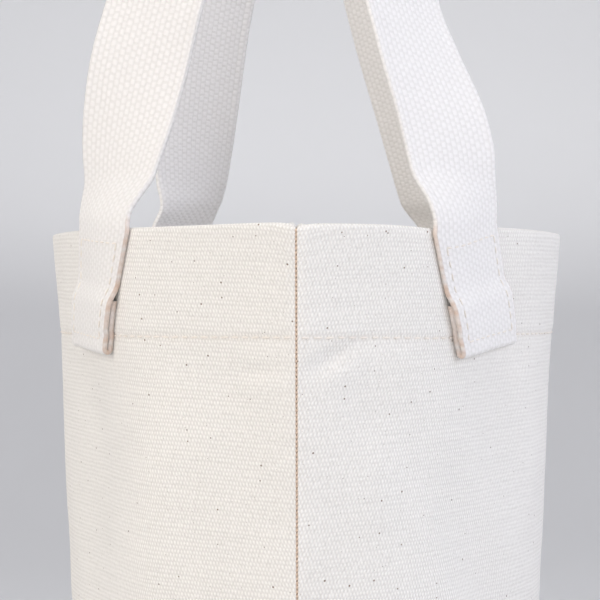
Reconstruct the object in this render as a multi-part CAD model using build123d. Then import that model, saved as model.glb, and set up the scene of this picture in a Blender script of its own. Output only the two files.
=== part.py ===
"""Cotton canvas bucket bag with two webbing handles, built piece by piece.

Frame: +Z up, origin at the bottom centre. The mouth is longest along X, the side seams
run down the two ends at +X and -X, the front panel is at -Y and the back panel at +Y.
All dimensions in millimetres.
"""
import math
import os

from build123d import *

# ---- driving dimensions -------------------------------------------------------------
BODY_HEIGHT = 210.0          # floor to rim
MOUTH_HALF_LENGTH = 92.0     # seam to centre at the rim
MOUTH_HALF_WIDTH = 60.5      # panel to centre at the rim
BASE_HALF_LENGTH = 70.0
BASE_HALF_WIDTH = 49.0
POINTED_DEPTH = 200.0        # how far below the rim the pointed oval fades to an ellipse

CLOTH = 0.9                  # one layer of number 10 cotton duck
HEM_DEPTH = 24.0             # turned-in band round the mouth
HEM_EXTRA = 1.0              # second layer plus its fold
SEAM_GAP = 0.05              # half the crevice between the two panels
SEAM_ALLOWANCE = 10.0
SEAM_START = 11.3            # side allowances start above the base seam

TAPE = 0.75                  # cotton binding tape
BASE_TURN_UP = 10.0          # base allowance turned up inside the wall

WEB_WIDTH = 25.0             # handle webbing
WEB_THICK = 1.6
FOOT_X = 62.0                # foot centre from the middle of the panel
FOOT_DROP = 26.0             # foot length below the rim
FOOT_TURN_UNDER = 11.0       # folded-under end of the webbing
FOOT_SLANT = 11.0            # degrees the foot leans, its lower end towards mid-panel
FOOT_CLEAR = 0.05            # fit between a foot and the cloth below it

HANDLE_RISE = 165.0          # rim to the middle of the grip
HANDLE_LEG = 104.0           # straight part of each leg
HANDLE_LEG_X = 57.0          # leg centre at the shoulder of the arch
TWIST_RISE = 46.0            # height over which the webbing turns edge on
# leg centre distance from the XZ plane at heights above the rim
LEAN_TABLE = ((0.0, 0.0), (18.0, -3.0), (38.0, -8.6), (51.0, -12.2), (104.0, -22.5),
              (165.0, -26.3))

THREAD = 0.42
STITCH_PITCH = 3.0
HEM_STITCH_PITCH = 2.5


# ---- body surface -------------------------------------------------------------------
def smooth(t):
    """Ease from 0 to 1 for t between 0 and 1."""
    t = max(0.0, min(1.0, t))
    return t * t * (3.0 - 2.0 * t)


def half_sizes(z):
    """Half length and half width of the outside of the bag at height z."""
    t = z / BODY_HEIGHT
    flare = t + 0.04 * math.sin(math.pi * t)
    a = BASE_HALF_LENGTH + (MOUTH_HALF_LENGTH - BASE_HALF_LENGTH) * flare
    b = BASE_HALF_WIDTH + (MOUTH_HALF_WIDTH - BASE_HALF_WIDTH) * flare
    return a, b


def raw_point(u, z):
    """Outside surface point of the back half; u runs 0 (middle) to 1 (side seam)."""
    a, b = half_sizes(z)
    pointed = smooth((z - (BODY_HEIGHT - POINTED_DEPTH)) / POINTED_DEPTH)
    ex, ey = a * math.sin(u * math.pi / 2), b * math.cos(u * math.pi / 2)
    r = (a * a + b * b) / (2 * b)
    psi = u * math.asin(a / r)
    px, py = r * math.sin(psi), r * math.cos(psi) - (r - b)
    return ex + (px - ex) * pointed, ey + (py - ey) * pointed


def surface_frame(u, z):
    """Point and outward horizontal normal of the back half at u (-1 to 1)."""
    s = -1.0 if u < 0 else 1.0
    u = abs(u)
    x, y = raw_point(u, z)
    x1, y1 = raw_point(max(u - 0.002, 0.0), z)
    x2, y2 = raw_point(u + 0.002, z)
    dx, dy = x2 - x1, y2 - y1
    n = math.hypot(dx, dy)
    return (s * x, y), (s * -dy / n, dx / n)


def half_profile(z, off, count=15):
    """Points of the back half outline at height z, offset outwards by off."""
    dense = []
    for i in range(401):
        u = i / 400 * 1.0
        (x, y), (nx, ny) = surface_frame(u, z)
        dense.append((x + nx * off, y + ny * off))
    cut = []
    for i, (x, y) in enumerate(dense):
        if y <= 0.0 and i:
            (x0, y0) = dense[i - 1]
            f = y0 / (y0 - y)
            cut.append((x0 + (x - x0) * f, 0.0))
            break
        cut.append((x, y))
    if cut[-1][1] > 1e-9:
        (x0, y0), (x1, y1) = cut[-2], cut[-1]
        if abs(y0 - y1) > 1e-9 and y1 > 1e-6:
            f = y1 / (y0 - y1)
            cut.append((x1 + (x1 - x0) * f, 0.0))
        else:
            cut[-1] = (x1, 0.0)
    length = [0.0]
    for p, q in zip(cut, cut[1:]):
        length.append(length[-1] + math.hypot(q[0] - p[0], q[1] - p[1]))
    out = []
    for k in range(count):
        want = length[-1] * k / (count - 1)
        j = 1
        while j < len(cut) - 1 and length[j] < want:
            j += 1
        f = (want - length[j - 1]) / (length[j] - length[j - 1])
        out.append((cut[j - 1][0] + (cut[j][0] - cut[j - 1][0]) * f,
                    cut[j - 1][1] + (cut[j][1] - cut[j - 1][1]) * f))
    out[-1] = (out[-1][0], 0.0)
    return [(-x, y) for x, y in reversed(out[1:])] + out


def section(z, off):
    """Closed face of the bag outline at height z, offset by off."""
    pts = [Vector(x, y, z) for x, y in half_profile(z, off)]
    back = Edge.make_spline(pts)
    front = Edge.make_spline([Vector(p.X, -p.Y, p.Z) for p in pts])
    return Face(Wire([back, front]))


def body_solid(off, z0, z1):
    """Solid filling the bag outline between two heights."""
    count = max(2, round((z1 - z0) / 35.0) + 1)
    heights = [z0 + (z1 - z0) * i / (count - 1) for i in range(count)]
    return Solid.make_loft([section(z, off).outer_wire() for z in heights])


def slab(x0, x1, y0, y1, z0, z1):
    """Axis aligned block between the given limits."""
    return Pos((x0 + x1) / 2, (y0 + y1) / 2, (z0 + z1) / 2) * Box(x1 - x0, y1 - y0, z1 - z0)


def one(shape):
    """The single solid of a boolean result."""
    solids = shape.solids()
    return max(solids, key=lambda s: s.volume)


def mirrored(shape, plane):
    """Mirror image of a solid, or of every solid of a group."""
    solids = [solid.mirror(plane) for solid in shape.solids()]
    return solids[0] if len(solids) == 1 else Compound(children=solids)


def mirrored_y(shape):
    return mirrored(shape, Plane.XZ)


def mirrored_x(shape):
    return mirrored(shape, Plane.YZ)


def ring(outer, inner, z0, z1):
    """Wall ring built from two lofts that share their heights."""
    return body_solid(outer, z0, z1) - body_solid(inner, z0, z1)


# ---- body panels --------------------------------------------------------------------
def make_panel():
    """Back panel: half the wall, doubled at the hem, with its two seam allowances."""
    wall = ring(0.0, -CLOTH, 0.0, BODY_HEIGHT)
    half = slab(-150, 150, SEAM_GAP, 150, -1, BODY_HEIGHT + 1)
    panel = wall & half
    z_hem = BODY_HEIGHT - HEM_DEPTH
    hem = ring(-CLOTH + 0.02, -CLOTH - HEM_EXTRA, z_hem, BODY_HEIGHT) & half
    fin_shell = ring(-CLOTH * 0.5, -SEAM_ALLOWANCE, SEAM_START, BODY_HEIGHT)
    fin_slab = slab(-150, 150, SEAM_GAP, SEAM_GAP + CLOTH, 0, BODY_HEIGHT + 1)
    fins = fin_shell & fin_slab
    result = panel + hem
    for fin in fins.solids():
        result = result + fin
    return one(result)


def make_base():
    """Oval base with its edge turned up inside the wall."""
    inside = -CLOTH - 0.05
    tray = body_solid(inside, 0.0, BASE_TURN_UP)
    cavity = body_solid(inside - CLOTH, CLOTH, BASE_TURN_UP + 1.0)
    return one(tray - cavity)


def make_base_binding():
    """Tape folded over the turned-up edge of the base."""
    inside = -CLOTH - 0.05
    face = ring(inside - CLOTH - 0.05, inside - CLOTH - 0.05 - TAPE, 3.0, BASE_TURN_UP + 0.05)
    cap = ring(inside, inside - CLOTH - 0.05 - TAPE, BASE_TURN_UP + 0.05,
               BASE_TURN_UP + 0.05 + TAPE)
    return one(face + cap)


def make_side_binding():
    """Tape folded over the two side seam allowances at +X."""
    z0, z1 = SEAM_START + 0.5, BODY_HEIGHT - HEM_DEPTH - 0.5
    inner_y = SEAM_GAP + CLOTH + 0.05
    outer_y = inner_y + TAPE
    wrap = ring(-3.4, -SEAM_ALLOWANCE - 0.1 - TAPE, z0, z1) & slab(0, 150, -outer_y, outer_y,
                                                                   0, BODY_HEIGHT)
    hollow = ring(-1.0, -SEAM_ALLOWANCE - 0.1, z0 - 1, z1 + 1) & slab(0, 150, -inner_y,
                                                                      inner_y, 0, 300)
    return one(wrap - hollow)


# ---- webbing ------------------------------------------------------------------------
def arc_u(x, z):
    """Surface parameter u whose outside point has the given x."""
    lo, hi = 0.0, 1.0
    for _ in range(40):
        mid = (lo + hi) / 2
        if raw_point(mid, z)[0] < x:
            lo = mid
        else:
            hi = mid
    return (lo + hi) / 2


def make_foot():
    """Back right handle foot: webbing laid down the panel, its end turned under."""
    (cx, cy), (nx, ny) = surface_frame(arc_u(FOOT_X, BODY_HEIGHT), BODY_HEIGHT)
    angle = math.degrees(math.atan2(ny, nx)) - 90.0
    z1 = BODY_HEIGHT - 0.05
    z0 = BODY_HEIGHT - FOOT_DROP
    single = ring(FOOT_CLEAR + WEB_THICK, FOOT_CLEAR, z0, z1)
    double = ring(FOOT_CLEAR + 2 * WEB_THICK, FOOT_CLEAR, z0, z0 + FOOT_TURN_UNDER)
    turn = Pos(cx, cy, BODY_HEIGHT) * Rot(0, 0, angle) * Rot(0, FOOT_SLANT, 0)
    column = turn * Box(WEB_WIDTH, 24, 120)
    return one((single & column) + (double & column))


def lean(h):
    """Inward lean of the leg centre at height h above the rim."""
    for (h0, v0), (h1, v1) in zip(LEAN_TABLE, LEAN_TABLE[1:]):
        if h <= h1:
            return v0 + (v1 - v0) * (h - h0) / (h1 - h0)
    return LEAN_TABLE[-1][1]


def handle_sections():
    """Webbing cross sections of the back handle from the right foot to the left."""
    (cx, cy), (nx, ny) = surface_frame(arc_u(FOOT_X, BODY_HEIGHT), BODY_HEIGHT)
    start = math.degrees(math.atan2(ny, nx))
    off = FOOT_CLEAR + WEB_THICK / 2
    cx, cy = cx + nx * off, cy + ny * off
    heights = [0.0, 6.0, 12.0, 18.0, 24.0, 31.0, 38.0, 46.0, 60.0, 80.0, HANDLE_LEG]
    right = []
    for h in heights:
        x = cx + (HANDLE_LEG_X - cx) * smooth(h / HANDLE_LEG)
        right.append((x, cy + lean(h), h, smooth(h / TWIST_RISE)))
    rise = HANDLE_RISE - HANDLE_LEG
    for k in range(1, 6):
        q = math.pi / 2 * k / 6
        h = HANDLE_LEG + rise * math.sin(q)
        right.append((HANDLE_LEG_X * math.cos(q), cy + lean(h), h, 1.0))
    apex = (0.0, cy + lean(HANDLE_RISE), HANDLE_RISE, 1.0)
    path = right + [apex] + [(-x, y, h, t) for x, y, h, t in reversed(right)]
    centres = [Vector(x, y, BODY_HEIGHT + 0.05 + h) for x, y, h, t in path]
    faces = []
    for i, (x, y, h, t) in enumerate(path):
        if i == 0:
            tangent = Vector(0, 0, 1)
        elif i == len(path) - 1:
            tangent = Vector(0, 0, -1)
        else:
            tangent = (centres[i + 1] - centres[i - 1]).normalized()
        # webbing lies along the panel at the foot and turns edge on above it
        turn = math.radians((start - 90.0) * (1.0 - t) - 90.0 * t)
        w = Vector(math.cos(turn), math.sin(turn), 0)
        if x < 0:
            w = Vector(-w.X, w.Y, 0)
        w = (w - tangent * w.dot(tangent)).normalized()
        n = tangent.cross(w)
        half_w, half_n = w * (WEB_WIDTH / 2), n * (WEB_THICK / 2)
        c = centres[i]
        faces.append(Wire.make_polygon([c + half_w + half_n, c - half_w + half_n,
                                        c - half_w - half_n, c + half_w - half_n]))
    return faces


def make_handle():
    """Back handle: one length of webbing from rim to rim."""
    return Solid.make_loft(handle_sections())


# ---- stitching ----------------------------------------------------------------------
def bar(point, along, normal, length):
    """One visible stitch: a short round-edged bar lying on a surface."""
    plane = Plane(origin=Vector(*point), x_dir=Vector(*along), z_dir=Vector(*normal))
    return plane * Box(length, THREAD, THREAD)


def group(bars):
    return Compound(children=[b.solid() if hasattr(b, "solid") else b for b in bars])


def surface_stitches(z, off, pitch, gaps=(), facing=1.0):
    """Row of stitches round the back half at height z on the offset surface."""
    dense = [surface_frame(-1 + 2 * i / 800, z) for i in range(801)]
    pts = [(x + nx * off, y + ny * off, nx, ny) for (x, y), (nx, ny) in dense]
    travel, bars, last = 0.0, [], None
    for i in range(1, len(pts)):
        travel += math.hypot(pts[i][0] - pts[i - 1][0], pts[i][1] - pts[i - 1][1])
        if last is None or travel - last >= pitch:
            last = travel
            x, y, nx, ny = pts[i]
            if y < 2.2 or any(g0 < x < g1 for g0, g1 in gaps):
                continue
            bars.append(bar((x, y, z), (-ny, nx, 0), (nx * facing, ny * facing, 0),
                            pitch * 0.72))
    return bars


def make_hem_stitching():
    """Back hem stitch line, broken where the handle feet cover it."""
    (_, _), (nx, ny) = surface_frame(arc_u(FOOT_X, BODY_HEIGHT), BODY_HEIGHT)
    reach = WEB_WIDTH / 2 * abs(ny) + 2.4
    middle = FOOT_X - HEM_DEPTH * math.tan(math.radians(FOOT_SLANT)) * abs(ny)
    gaps = ((middle - reach, middle + reach), (-middle - reach, -middle + reach))
    return group(surface_stitches(BODY_HEIGHT - HEM_DEPTH + 0.8, THREAD / 2 + 0.03,
                                  HEM_STITCH_PITCH, gaps))


def make_base_stitching():
    """Stitches through the base binding, seen from inside the bag."""
    off = -CLOTH - 0.05 - CLOTH - 0.05 - TAPE - THREAD / 2 - 0.03
    bars = [b for b in surface_stitches(6.5, off, STITCH_PITCH)]
    front = [mirrored_y(b) for b in bars]
    return group(bars + front)


def make_side_stitching():
    """Stitches on both faces of the +X seam binding."""
    bars = []
    z = SEAM_START + 2.5
    y = SEAM_GAP + CLOTH + 0.05 + TAPE + THREAD / 2 + 0.03
    while z < BODY_HEIGHT - HEM_DEPTH - 3.0:
        a0, a1 = half_sizes(z)[0], half_sizes(z + 1.0)[0]
        along = Vector(a1 - a0, 0, 1).normalized()
        for side in (1, -1):
            bars.append(bar((a0 - 7.0, side * y, z), (along.X, along.Y, along.Z),
                            (0, side, 0), STITCH_PITCH * 0.72))
        z += STITCH_PITCH
    return group(bars)


def make_foot_stitching():
    """Rectangle of stitches through the back right foot."""
    u0 = arc_u(FOOT_X, BODY_HEIGHT)
    (cx, cy), (nx, ny) = surface_frame(u0, BODY_HEIGHT)
    side_x, side_y = ny, -nx
    bars = []
    z_low, z_high = BODY_HEIGHT - FOOT_DROP + 2.4, BODY_HEIGHT - 2.6

    def place(across, z, along):
        slide = across - (BODY_HEIGHT - z) * math.tan(math.radians(FOOT_SLANT))
        u = arc_u(cx + side_x * slide, z)
        (x, y), (mx, my) = surface_frame(u, z)
        layers = 2 if z < BODY_HEIGHT - FOOT_DROP + FOOT_TURN_UNDER + 1.2 else 1
        off = FOOT_CLEAR + WEB_THICK * layers + THREAD / 2 + 0.13
        lean_in = -math.tan(math.radians(FOOT_SLANT))
        direction = (my, -mx, 0) if along == "row" else (-my * lean_in, mx * lean_in, 1)
        bars.append(bar((x + mx * off, y + my * off, z), direction, (mx, my, 0),
                        HEM_STITCH_PITCH * 0.72))

    edge = WEB_WIDTH / 2 - 2.6
    count = 8
    for z in (z_low, z_high):
        for i in range(count + 1):
            place(-edge + 2 * edge * i / count, z, "row")
    for across in (-edge, edge):
        for i in range(1, count):
            place(across, z_low + (z_high - z_low) * i / count, "column")
    return group(bars)


# ---- assembly -----------------------------------------------------------------------
def build():
    """Every node of the bag, by name."""
    panel = make_panel()
    side_tape = make_side_binding()
    side_thread = make_side_stitching()
    hem_thread = make_hem_stitching()
    foot = make_foot()
    foot_thread = make_foot_stitching()
    handle = make_handle()
    nodes = {
        "front_panel": mirrored_y(panel),
        "back_panel": panel,
        "base_panel": make_base(),
        "right_seam_binding": side_tape,
        "left_seam_binding": mirrored_x(side_tape),
        "base_seam_binding": make_base_binding(),
        "right_seam_stitching": side_thread,
        "left_seam_stitching": mirrored_x(side_thread),
        "base_seam_stitching": make_base_stitching(),
        "front_hem_stitching": mirrored_y(hem_thread),
        "back_hem_stitching": hem_thread,
        "front_handle_webbing": mirrored_y(handle),
        "back_handle_webbing": handle,
    }
    for front in (True, False):
        for left in (True, False):
            name = ("front" if front else "back") + ("_left" if left else "_right")
            piece, thread = foot, foot_thread
            if front:
                piece, thread = mirrored_y(piece), mirrored_y(thread)
            if left:
                piece, thread = mirrored_x(piece), mirrored_x(thread)
            nodes[name + "_handle_foot"] = piece
            nodes[name + "_foot_stitching"] = thread
    return nodes


os.makedirs("parts", exist_ok=True)
for node, shape in build().items():
    box = shape.bounding_box()
    export_step(shape, f"parts/{node}.step")
    print(f"{node:26s} volume {shape.volume:10.1f}  valid {shape.is_valid}  "
          f"x {box.min.X:7.1f} {box.max.X:7.1f}  y {box.min.Y:7.1f} {box.max.Y:7.1f}  "
          f"z {box.min.Z:7.1f} {box.max.Z:7.1f}  solids {len(shape.solids())}")
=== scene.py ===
"""Finished look of the cotton canvas bucket bag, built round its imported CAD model.

The bag stands on the floor with +Z up, its side seams at +X and -X, its front panel at -Y
and its back panel at +Y. Sizes are written in millimetres and turned to metres in the mesh.
"""
from __future__ import annotations

import logging
import math
import random
from bisect import bisect_right
from dataclasses import dataclass
from enum import Enum
from functools import lru_cache
from typing import Any, Callable, Iterable, Sequence

import bmesh
import bpy
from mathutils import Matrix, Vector, noise

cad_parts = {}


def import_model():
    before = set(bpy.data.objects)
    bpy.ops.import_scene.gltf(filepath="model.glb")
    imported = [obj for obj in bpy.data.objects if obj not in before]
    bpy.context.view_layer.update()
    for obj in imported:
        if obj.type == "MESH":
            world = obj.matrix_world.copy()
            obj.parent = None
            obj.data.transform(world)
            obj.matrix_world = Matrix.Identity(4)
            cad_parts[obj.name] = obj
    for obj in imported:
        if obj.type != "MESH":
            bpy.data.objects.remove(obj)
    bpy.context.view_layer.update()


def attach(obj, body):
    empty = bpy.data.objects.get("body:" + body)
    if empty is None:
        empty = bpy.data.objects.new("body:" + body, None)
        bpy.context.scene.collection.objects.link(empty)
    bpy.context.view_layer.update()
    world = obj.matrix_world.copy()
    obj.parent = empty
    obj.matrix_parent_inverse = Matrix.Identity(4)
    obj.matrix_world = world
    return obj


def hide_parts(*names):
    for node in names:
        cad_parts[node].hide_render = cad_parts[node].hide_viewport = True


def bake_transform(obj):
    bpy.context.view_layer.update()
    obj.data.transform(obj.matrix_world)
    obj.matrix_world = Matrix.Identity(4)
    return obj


LOG = logging.getLogger("bucket_bag")
MM = 0.001
SEED = 28
WEAVE_MAP = "weave"
# mesh attribute: how much painted brown shade each point takes, in folds and gaps where shade
# falls
PAINTED_SHADE = "painted_shade"
FLECK_COLOUR = "#6e5540"
Pair = tuple[float, float]


class Side(Enum):
    """Which panel of the bag a piece belongs to, as the sign of its Y."""

    FRONT = -1
    BACK = 1


class End(Enum):
    """Which end of the bag a piece is at, as the sign of its X."""

    LEFT = -1
    RIGHT = 1


def smooth(t: float) -> float:
    """Ease from 0 to 1 while t goes from 0 to 1."""
    t = max(0.0, min(1.0, t))
    return t * t * (3.0 - 2.0 * t)


def bell(x: float, width: float) -> float:
    """Rounded bump of height 1 at x = 0 that fades over about width."""
    return math.exp(-(x / width) ** 2)


def waver(x: float, y: float, z: float) -> float:
    """Smooth noise at a place of its own space, about -1 to 1."""
    return noise.noise(Vector((x, y, z)))


def spread(start: float, stop: float, step: float) -> list[float]:
    """Evenly spaced values from start to stop, both included, at most a step apart."""
    count = max(1, math.ceil(abs(stop - start) / step))
    return [start + (stop - start) * i / count for i in range(count + 1)]


def halve(low: float, high: float, short: Callable[[float], bool], rounds: int) -> float:
    """Find where a test turns false.

    Args:
        low: Value at which the test holds.
        high: Value at which it doesn't.
        short: The test.
        rounds: How many times to halve the gap.

    Returns:
        The value between.
    """
    for _ in range(rounds):
        mid = (low + high) / 2
        if short(mid):
            low = mid
        else:
            high = mid
    return (low + high) / 2


def travelled(points: Sequence[Pair]) -> list[float]:
    """Distance along a line at each of its points."""
    out = [0.0]
    for p, q in zip(points, points[1:]):
        out.append(out[-1] + math.hypot(q[0] - p[0], q[1] - p[1]))
    return out


def linear_colour(code: str) -> tuple[float, float, float, float]:
    """Turn an sRGB hex code into a linear colour with full alpha."""
    parts = [int(code[i:i + 2], 16) / 255.0 for i in (1, 3, 5)]
    out = [c / 12.92 if c <= 0.04045 else ((c + 0.055) / 1.055) ** 2.4 for c in parts]
    return out[0], out[1], out[2], 1.0


def show(name: str, data: Any) -> bpy.types.Object:
    """Put a mesh, lamp or camera in the scene as an object."""
    made = bpy.data.objects.new(name, data)
    bpy.context.scene.collection.objects.link(made)
    return made


def put(tree: bpy.types.NodeTree, kind: str, links: dict[Any, Any] | None = None,
        **settings: Any) -> bpy.types.NodeSocket:
    """Add one node with its settings and inputs.

    Args:
        tree: Node tree that gets the node.
        kind: Blender type name of the node.
        links: Input name or index to a value, or to a socket that feeds it.
        **settings: Attributes of the node itself.

    Returns:
        The node's first output, from which its other outputs can be reached.
    """
    node = tree.nodes.new(kind)
    for name, value in settings.items():
        setattr(node, name, value)
    for key, value in (links or {}).items():
        if isinstance(value, bpy.types.NodeSocket):
            tree.links.new(value, node.inputs[key])
        else:
            node.inputs[key].default_value = value
    return node.outputs[0] if node.outputs else None


# ---- finishes -----------------------------------------------------------------------
class Nodes:
    """A new material and short names for the nodes that it is made of."""

    def __init__(self, name: str, shader: dict[str, float]) -> None:
        """Make the empty material.

        Args:
            name: Name of the material.
            shader: Constants of its shader.
        """
        self.made = bpy.data.materials.new(name)
        self.made.use_nodes = True
        self.tree = self.made.node_tree
        self.shader = self.tree.nodes["Principled BSDF"].inputs
        for key, value in shader.items():
            self.shader[key].default_value = value

    def put(self, kind: str, links: dict[Any, Any] | None = None, **settings: Any) -> Any:
        """Add one shader node, named without its prefix."""
        return put(self.tree, "ShaderNode" + kind, links, **settings)

    def calc(self, operation: str, *values: Any) -> Any:
        """Socket of one sum of sockets and numbers."""
        return self.put("Math", dict(enumerate(values)), operation=operation)

    def fuzz(self, place: Any, scale: float, detail: float = 1.0) -> Any:
        """Socket of a noise over a map."""
        return self.put("TexNoise", {"Vector": place, "Scale": scale, "Detail": detail})

    def remap(self, value: Any, spans: Sequence[float], **settings: Any) -> Any:
        """Socket of a value moved from its range to another, 0 to 1 unless given."""
        names = ("From Min", "From Max", "To Min", "To Max")
        return self.put("MapRange", {"Value": value, **dict(zip(names, spans))}, **settings)

    def mix(self, share: Any, under: Any, over: str) -> Any:
        """Socket of one colour with a share of another laid over it."""
        below = linear_colour(under) if isinstance(under, str) else under
        return self.put("Mix", {0: share, "A": below, "B": linear_colour(over)},
                        data_type="RGBA").node.outputs[2]

    def wander(self, drift: tuple[float, float, float], detail: float,
               sway: Pair) -> tuple[Any, Any, Any]:
        """Read the cloth's own map, in millimetres, with yarns that wander a little.

        Args:
            drift: How fast the wander changes across and along the cloth.
            detail: Fineness of the wander.
            sway: How far the yarns stray across and along.

        Returns:
            Sockets for the plain map and for the wandering U and V.
        """
        flat = self.put("UVMap", uv_map=WEAVE_MAP)
        split = self.put("SeparateXYZ", {0: flat}).node.outputs
        slow = self.put("VectorMath", {0: flat, 1: drift}, operation="MULTIPLY")
        stray = self.fuzz(slow, 1.0, detail).node.outputs["Color"]
        stray = self.put("SeparateXYZ", {0: stray}).node.outputs
        return (flat, *(self.calc("MULTIPLY_ADD", stray[k], far, split[k])
                        for k, far in zip("XY", sway)))

    def wave(self, value: Any, pitch: float, turn: float = math.pi) -> Any:
        """Socket of a cosine of the value, which turns by so much in one pitch."""
        return self.calc("COSINE", self.calc("MULTIPLY", value, turn / pitch))


@dataclass(frozen=True)
class Finish:
    """What every cloth finish shares: its name, its surface and how it takes light."""

    name: str
    light: str
    shade: str
    # colour painted over the weave as shade in folds and gaps, warm brown as the shade there
    # looks
    painted_crevice_shade: str
    roughness: float
    sheen: float
    relief: float

    def build(self) -> bpy.types.Material:
        """Make the material, whose pattern follows the map, with brown shade painted into the
        folds and gaps that the mesh marks.
        """
        nodes = Nodes(self.name, {"Roughness": self.roughness, "Specular IOR Level": 0.25,
                                  "Sheen Weight": self.sheen, "Sheen Roughness": 0.5})
        height, colour = self.pattern(nodes)
        painted_shade = nodes.put("Attribute", attribute_name=PAINTED_SHADE,
                         attribute_type="GEOMETRY").node.outputs["Fac"]
        bump = nodes.put("Bump", {"Height": height, "Strength": 1.0,
                                  "Distance": self.relief * MM})
        # points marked for it take the painted brown shade over the woven colour
        nodes.tree.links.new(nodes.mix(painted_shade, colour, self.painted_crevice_shade),
                             nodes.shader["Base Color"])
        nodes.tree.links.new(bump, nodes.shader["Normal"])
        return nodes.made

    def pattern(self, nodes: Nodes) -> tuple[Any, Any]:
        """Sockets of the woven relief, about 0 to 1, and of the colour."""
        raise NotImplementedError


@dataclass(frozen=True)
class Duck(Finish):
    """Undyed cotton duck, plain woven: matt cream, with picks seen as fine level lines."""

    end_pitch: float = 0.385
    pick_pitch: float = 0.91
    fleck_cell: float = 5.4

    def pattern(self, nodes: Nodes) -> tuple[Any, Any]:
        """Sockets of the woven relief, about 0 to 1, and of the colour."""
        # yarns are thick and thin, as spun cotton is
        flat, u, v = nodes.wander((0.09, 0.35, 1.0), 2.0, (0.8, 0.7))
        picks = nodes.wave(v, self.pick_pitch)
        seeds = nodes.calc("MULTIPLY", nodes.wave(u, self.end_pitch), picks)
        rows = nodes.calc("MULTIPLY", picks, picks)
        body = nodes.calc("MULTIPLY_ADD", seeds, 0.4, 0.16)
        body = nodes.calc("MULTIPLY_ADD", rows, 0.28, body)
        height = nodes.calc("MULTIPLY_ADD", nodes.fuzz(flat, 1.25), 0.62, body)
        cloth = nodes.mix(nodes.remap(height, (0.15, 1.05)), self.shade, self.light)
        return height, self.flecks(nodes, flat, self.slubs(nodes, flat, cloth))

    def slubs(self, nodes: Nodes, flat: Any, cloth: Any) -> Any:
        """Lay faint thick picks and clouds of tone over the colour of the cloth."""
        streak = nodes.put("VectorMath", {0: flat, 1: (0.05, 1.05, 1.0)},
                           operation="MULTIPLY")
        both = nodes.calc("ADD", nodes.fuzz(streak, 1.0), nodes.fuzz(flat, 0.045, 2.0))
        value = nodes.remap(both, (0.7, 1.3, 0.975, 1.02))
        return nodes.put("HueSaturation", {"Value": value, "Color": cloth})

    def flecks(self, nodes: Nodes, flat: Any, cloth: Any) -> Any:
        """Scatter the specks of cotton seed hull that undyed cloth keeps."""
        for cell, widest, strength in ((self.fleck_cell, 0.26, 0.85), (2.6, 0.15, 0.4)):
            near = nodes.put("TexVoronoi", {"Vector": flat, "Scale": 1.0 / cell},
                             voronoi_dimensions="2D").node.outputs
            pick = nodes.put("SeparateColor", {0: near["Color"]})
            # only some cells hold a speck, and each has its own size
            size = nodes.remap(pick, (0.28, 1.0, 0.0, widest / cell))
            gap = nodes.calc("SUBTRACT", size, near["Distance"])
            spot = nodes.remap(gap, (0.0, 0.08 / cell, 0.0, strength))
            cloth = nodes.mix(spot, cloth, FLECK_COLOUR)
        return cloth


@dataclass(frozen=True)
class Webbing(Finish):
    """Undyed cotton webbing: thick lengthwise cords crossed over by staggered seeds."""

    cord_pitch: float = 1.39
    seed_pitch: float = 1.65

    def pattern(self, nodes: Nodes) -> tuple[Any, Any]:
        """Sockets of the woven relief, about 0 to 1, and of the colour."""
        flat, u, v = nodes.wander((0.3, 0.12, 1.0), 1.0, (0.5, 0.9))
        cords = nodes.wave(u, self.cord_pitch)
        # each cord's seeds are long, with narrow gaps, half a step off their neighbours'
        step = nodes.calc("MULTIPLY", nodes.calc("SIGN", cords),
                          nodes.wave(v, self.seed_pitch, 2.0 * math.pi))
        seed = nodes.remap(step, (-1.0, 0.1, 0.3), interpolation_type="SMOOTHSTEP")
        cord = nodes.calc("POWER", nodes.calc("ABSOLUTE", cords), 0.55)
        body = nodes.calc("MULTIPLY", cord, seed)
        height = nodes.calc("MULTIPLY_ADD", nodes.fuzz(flat, 1.6, 3.0), 0.5, body)
        return height, nodes.mix(nodes.remap(height, (0.3, 1.2)), self.shade, self.light)


@dataclass(frozen=True)
class Twill(Finish):
    """Cotton twill tape: narrow, flat and matt, with fine slanting lines."""

    line_pitch: float = 0.8

    def pattern(self, nodes: Nodes) -> tuple[Any, Any]:
        """Sockets of the woven relief, about 0 to 1, and of the colour."""
        flat = nodes.put("UVMap", uv_map=WEAVE_MAP)
        split = nodes.put("SeparateXYZ", {0: flat}).node.outputs
        turn = nodes.calc("MULTIPLY", nodes.calc("ADD", split["X"], split["Y"]),
                          2.0 * math.pi / self.line_pitch)
        height = nodes.calc("MULTIPLY_ADD", nodes.calc("SINE", turn), 0.25,
                            nodes.fuzz(flat, 2.2, 2.0))
        return height, nodes.mix(height, self.shade, self.light)


@dataclass(frozen=True)
class Thread(Finish):
    """Cotton sewing thread: soft, slightly lustrous, plied in fine slanting turns."""

    ply_pitch: float = 0.45

    def pattern(self, nodes: Nodes) -> tuple[Any, Any]:
        """Sockets of the plied relief, about 0 to 1, and of the colour."""
        place = nodes.put("TexCoord").node.outputs["Object"]
        plies = nodes.fuzz(place, 1.0 / (self.ply_pitch * MM), 2.0)
        return plies, nodes.mix(plies, self.shade, self.light)


# each finish's fourth colour is painted shade: pale brown for the canvas's seam fold and hem
# line, orange brown for the webbing's edges at the feet; tape and thread never take it
CANVAS = Duck("natural cotton duck", "#f5f2ec", "#d9d5cf", "#d9c5b0", 0.92, 0.12, 0.16)
STRAP = Webbing("natural cotton webbing", "#eeebe8", "#e3e0dc", "#c98a45", 0.9, 0.15, 0.11)
TAPE = Twill("cotton twill tape", "#f1ebe1", "#d9d0c4", "#a98a68", 0.9, 0.1, 0.1)
WHITE_THREAD = Thread("natural cotton thread", "#f6f0e8", "#e2d9ce", "#b08e6c", 0.75, 0.1,
                      0.05)
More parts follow.
